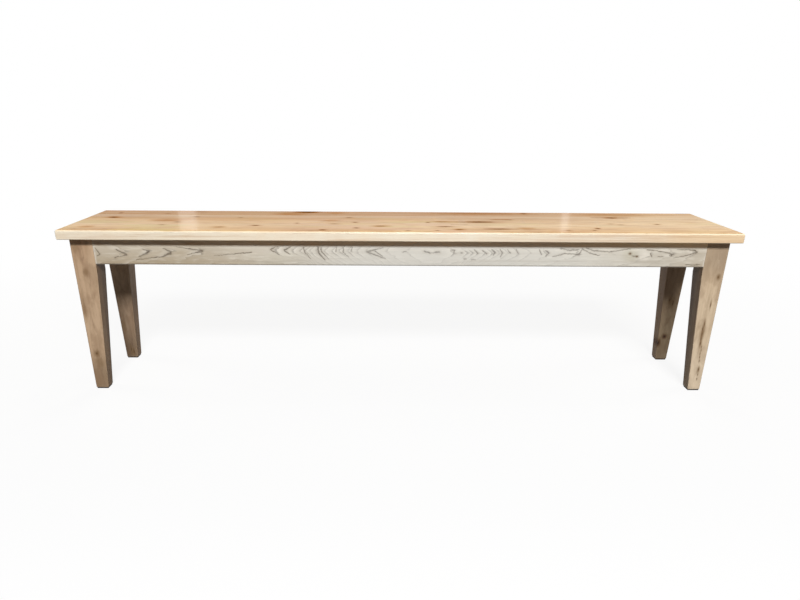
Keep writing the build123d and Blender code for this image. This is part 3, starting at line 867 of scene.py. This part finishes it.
legs = {
    "leg_front_left": dict(
        seed=31.0, middle=-0.855, palette=rosy_brown,
        washes=(mopped_foot, blotched, painted_shade_inward, painted_shade_behind),
        dashes=[(0.107, -0.861, 0.005, 0.0036)],
        stains=[(0.340, -0.851, 0.011, 0.007), (0.107, -0.861, 0.014, 0.011), (0.082, -0.857, 0.018, 0.014),
                (0.405, -0.868, 0.012, 0.008), (0.235, -0.872, 0.030, 0.004)]),
    "leg_front_right": dict(
        seed=37.0, middle=0.853, palette=tan_brown,
        washes=(blotched, painted_shade_top, paler_foot, painted_shade_inward, painted_shade_behind),
        dashes=[(0.335, 0.866, 0.004, 0.0024), (0.258, 0.861, 0.008, 0.0014),
                (0.203, 0.855, 0.008, 0.0014), (0.188, 0.853, 0.008, 0.0014), (0.172, 0.854, 0.010, 0.0020),
                (0.158, 0.854, 0.009, 0.0018), (0.145, 0.855, 0.007, 0.0014), (0.134, 0.860, 0.004, 0.0010),
                (0.124, 0.861, 0.004, 0.0010), (0.114, 0.860, 0.004, 0.0010), (0.103, 0.861, 0.004, 0.0010),
                (0.092, 0.862, 0.004, 0.0010), (0.066, 0.865, 0.005, 0.0016), (0.049, 0.866, 0.003, 0.0012),
                (0.036, 0.866, 0.003, 0.0010)],
        stains=[(0.172, 0.855, 0.040, 0.005), (0.064, 0.864, 0.014, 0.006), (0.335, 0.866, 0.009, 0.006)]),
    "leg_back_left": dict(
        seed=43.0, middle=-0.850, palette=painted_shade_brown,
        washes=(mopped_foot, painted_light_top, blotched, painted_shade_inward),
        dashes=[(0.030, -0.862, 0.012, 0.0018), (0.020, -0.855, 0.009, 0.0022)],
        stains=[(0.110, -0.870, 0.025, 0.006)]),
    "leg_back_right": dict(
        seed=49.0, middle=0.850, palette=painted_shade_brown,
        washes=(olive_and_painted_light_foot, blotched, painted_shade_inward),
        knots=[(0.082, 0.858, 0.007, 0.006), (0.060, 0.843, 0.011, 0.005)],
        dashes=[(0.205, 0.850, 0.008, 0.003), (0.195, 0.862, 0.012, 0.0024)],
        stains=[(0.200, 0.853, 0.018, 0.008), (0.060, 0.844, 0.014, 0.006)]),
}
for number, (node, details) in enumerate(legs.items()):
    name = "brown oak " + node.replace("leg_", "").replace("_", " ")
    rings = faint_rings(ring_wander(7.0, 3.0, details["seed"]), details.pop("middle"))
    material = oak(name, "zxy", rings=rings, line_strength=0.2, early_strength=0.08, fibre_strength=0.3,
                   check_strength=0.5, mottle=0.9, roughness=0.55, **details)
    dressed(node, material, 2, 21.0 + number)


# Pieces under the seat keep their shape from the model

plain_finishes = {
    "seat_tongue_": softwood("softwood tongue", "xyz", 1.0),
    "cross_rail_": softwood("softwood rail", "yxz", 2.0),
    "corner_brace_": softwood("softwood brace", "xzy", 3.0),
    "button_front_": softwood("softwood button front", "yxz", 4.0),
    "button_back_": softwood("softwood button back", "yxz", 5.0),
    "button_end_": softwood("softwood button end", "xyz", 6.0),
    "foot_pad_": felt("brown felt"),
    "seat_screws": zinc("dulled zinc"),
    "brace_screws": zinc("dulled zinc on braces"),
}
for node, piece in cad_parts.items():
    for start, material in plain_finishes.items():
        if node.startswith(start):
            for place in piece.material_slots:
                place.material = material


# Room: floor, light and camera


def pale_floor():
    """A wide pale floor that the bench stands on. To the camera it is nearly white, with the bench's
    shadow."""
    finish = Finish("pale floor")
    plain = finish.node("ShaderNodeBsdfDiffuse", {}, (0.17, 0.16, 0.15, 1.0))
    lit = finish.node("ShaderNodeBsdfDiffuse", {}, (0.9, 0.9, 0.9, 1.0))
    glow = finish.node("ShaderNodeEmission", {}, pure_white, 1.0)
    away = (finish.x * finish.x + finish.y * finish.y).root()
    seen = finish.node("ShaderNodeMixShader", {}, away.between(0.8, 2.6, 0.88, 1.0), lit, glow)
    shown = finish.node("ShaderNodeMixShader", {}, finish.seen_rays(), plain, seen)
    finish.node("ShaderNodeOutputMaterial", {}, shown)
    bm = bmesh.new()
    bmesh.ops.create_grid(bm, x_segments=2, y_segments=2, size=floor_half_width)
    mesh = bpy.data.meshes.new("floor")
    bm.to_mesh(mesh)
    bm.free()
    mesh.materials.append(finish.material)
    floor = bpy.data.objects.new("floor", mesh)
    bpy.context.scene.collection.objects.link(floor)


def white_world():
    """A dim room that the camera and reflections see as white."""
    world = bpy.data.worlds.new("soft room")
    bpy.context.scene.world = world
    world.use_nodes = True
    room = Nodes(world.node_tree)
    dim = room.node("ShaderNodeBackground", {}, pure_white, room_light)
    white = room.node("ShaderNodeBackground", {}, pure_white, 1.0)
    shown = room.node("ShaderNodeMixShader", {}, room.seen_rays(), dim, white)
    room.node("ShaderNodeOutputWorld", {}, shown)


def soft_box(name, place, aim, width, height, power, colour=(1.0, 1.0, 1.0), shows=True):
    """A soft rectangular lamp that points at a place, and shows in reflections or not."""
    lamp = bpy.data.lights.new(name, "AREA")
    lamp.shape = "RECTANGLE"
    lamp.size = width
    lamp.size_y = height
    lamp.energy = power
    lamp.color = colour
    holder = bpy.data.objects.new(name, lamp)
    holder.location = place
    holder.visible_glossy = shows
    holder.rotation_euler = (Vector(aim) - Vector(place)).to_track_quat("-Z", "Y").to_euler()
    bpy.context.scene.collection.objects.link(holder)


def photograph_camera():
    """The camera at the photograph's place, turn and framing."""
    data = bpy.data.cameras.new("camera")
    data.sensor_width = sensor_width
    data.lens = sensor_width * camera_reach / picture_width
    data.shift_x = (picture_width / 2 - camera_middle[0]) / picture_width
    data.shift_y = (camera_middle[1] - picture_height / 2) / picture_width
    camera = bpy.data.objects.new("camera", data)
    turn = (Matrix.Rotation(-camera_yaw, 4, "Z") @ Matrix.Rotation(math.pi / 2 - camera_pitch, 4, "X")
            @ Matrix.Rotation(camera_roll, 4, "Z"))
    camera.matrix_world = Matrix.Translation(camera_place) @ turn
    bpy.context.scene.collection.objects.link(camera)
    bpy.context.scene.camera = camera


pale_floor()
white_world()
bench_middle = (0.0, 0.0, 0.4)
soft_box("key", (0.5, -4.7, 3.55), bench_middle, 2.0, 0.8, 345.0)
soft_box("back", (0.2, 3.9, 2.7), bench_middle, 2.4, 1.2, 72.0, (1.0, 0.95, 0.88), False)
soft_box("left end", (-3.4, 0.8, 2.7), bench_middle, 1.2, 1.2, 22.0, (1.0, 0.97, 0.93), False)
soft_box("right end", (3.4, 0.8, 2.7), bench_middle, 1.2, 1.2, 22.0, (1.0, 0.97, 0.93), False)
soft_box("left strip", (-1.742, 4.0, 1.2), (-0.6, 0.0, seat_high.z), 0.15, 2.2, 1.0)
soft_box("right strip", (1.524, 4.0, 1.2), (0.468, 0.0, seat_high.z), 0.06, 2.2, 0.46)
photograph_camera()

bpy.context.scene.view_settings.view_transform = "Standard"
